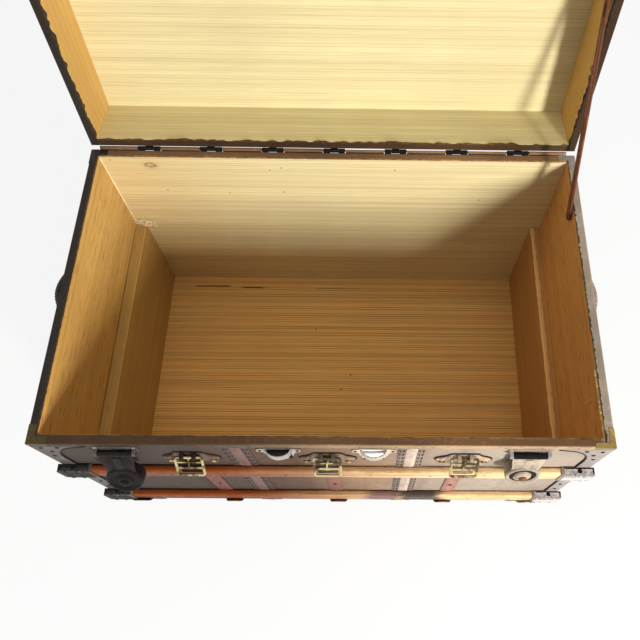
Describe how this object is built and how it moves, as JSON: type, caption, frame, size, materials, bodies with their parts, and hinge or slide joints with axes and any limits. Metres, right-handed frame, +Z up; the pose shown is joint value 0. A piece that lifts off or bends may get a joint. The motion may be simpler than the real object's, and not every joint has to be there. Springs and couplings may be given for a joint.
{
  "type": "flat-top steamer trunk",
  "caption": "Canvas-covered flat-top trunk of pine boards with a hinged lid, wooden slats, corner irons, buckles, hasps, dowel sockets, leather end handles and a lid stay.",
  "frame": {"origin": "on the floor under the middle of the box, on the underside of the centre runner", "axes": "+X to the trunk's right, -Y to its front, +Z up"},
  "size_m": [0.9972, 0.8285, 1.0725],
  "materials": {
    "pine": "bare, aged pine with a fine straight grain",
    "canvas": "painted canvas, dull and worn",
    "binding": "worn brown paint",
    "slat_wood": "varnished hardwood, worn",
    "dark_steel": "browned sheet steel",
    "grey_steel": "tinned sheet steel, dulled",
    "brass": "plated, rubbed bright on the edges",
    "rusty_steel": "rusted flat bar",
    "handle_leather": "dark, dry saddle leather"
  },
  "bodies": {
    "trunk": {"front_panel": "pine", "back_panel": "pine", "left_panel": "pine", "right_panel": "pine", "floor_panel": "pine", "left_tray_support": "pine", "right_tray_support": "pine", "body_canvas": "canvas", "body_rim_binding": "binding", "front_upper_slat": "slat_wood", "front_lower_slat": "slat_wood", "back_upper_slat": "slat_wood", "back_lower_slat": "slat_wood", "front_runner": "slat_wood", "centre_runner": "slat_wood", "rear_runner": "slat_wood", "front_left_corner_iron": "dark_steel", "front_right_corner_iron": "dark_steel", "rear_left_corner_iron": "dark_steel", "rear_right_corner_iron": "dark_steel", "left_handle": "handle_leather", "right_handle": "handle_leather", "left_handle_plate": "dark_steel", "right_handle_plate": "dark_steel", "left_buckle_plate": "dark_steel", "centre_buckle_plate": "dark_steel", "right_buckle_plate": "dark_steel", "left_hasp_plate": "dark_steel", "right_hasp_plate": "grey_steel", "left_dowel_socket": "dark_steel", "right_dowel_socket": "dark_steel", "body_hinge_strip": "dark_steel"},
    "lid": {"lid_top_panel": "pine", "lid_front_rail": "pine", "lid_back_rail": "pine", "lid_left_rail": "pine", "lid_right_rail": "pine", "lid_canvas": "canvas", "lid_rim_binding": "binding", "lid_front_slat": "slat_wood", "lid_rear_slat": "slat_wood", "lid_front_left_corner": "dark_steel", "lid_front_right_corner": "dark_steel", "lid_rear_left_corner": "dark_steel", "lid_rear_right_corner": "dark_steel", "lid_left_catch": "brass", "lid_centre_catch": "brass", "lid_right_catch": "brass", "lid_left_stud": "dark_steel", "lid_right_stud": "grey_steel", "lid_left_dowel": "dark_steel", "lid_right_dowel": "dark_steel", "lid_hinge_strip": "dark_steel", "lid_stay_stud": "rusty_steel"},
    "stay": {"stay_bar": "rusty_steel"},
    "left_buckle": {"left_buckle_frame": "brass"},
    "centre_buckle": {"centre_buckle_frame": "brass"},
    "right_buckle": {"right_buckle_frame": "brass"},
    "left_hasp": {"left_hasp": "dark_steel"},
    "right_hasp": {"right_hasp": "grey_steel"}
  },
  "joints": [
    {"name": "lid_hinge", "type": "hinge", "parent": "trunk", "child": "lid", "pos_m": [0, 0.2858, 0.4966], "axis": [1, 0, 0], "range_deg": [0, 100]},
    {"name": "stay_pivot", "type": "hinge", "parent": "trunk", "child": "stay", "pos_m": [0.4367, 0.1598, 0.4783], "axis": [1, 0, 0], "range_deg": [0, 110.1]},
    {"name": "left_buckle_swing", "type": "hinge", "parent": "trunk", "child": "left_buckle", "pos_m": [-0.2205, -0.288, 0.44], "axis": [-1, 0, 0], "range_deg": [0, 155]},
    {"name": "centre_buckle_swing", "type": "hinge", "parent": "trunk", "child": "centre_buckle", "pos_m": [0.004, -0.288, 0.44], "axis": [-1, 0, 0], "range_deg": [0, 155]},
    {"name": "right_buckle_swing", "type": "hinge", "parent": "trunk", "child": "right_buckle", "pos_m": [0.2285, -0.288, 0.44], "axis": [-1, 0, 0], "range_deg": [0, 155]},
    {"name": "left_hasp_swing", "type": "hinge", "parent": "trunk", "child": "left_hasp", "pos_m": [-0.3285, -0.288, 0.4663], "axis": [-1, 0, 0], "range_deg": [-11.5, 143.5]},
    {"name": "right_hasp_swing", "type": "hinge", "parent": "trunk", "child": "right_hasp", "pos_m": [0.3285, -0.288, 0.4663], "axis": [-1, 0, 0], "range_deg": [0, 155]}
  ],
  "couplings": [
    {"joint": "stay_pivot", "follows": "lid_hinge", "ratio": 1.101}
  ]
}
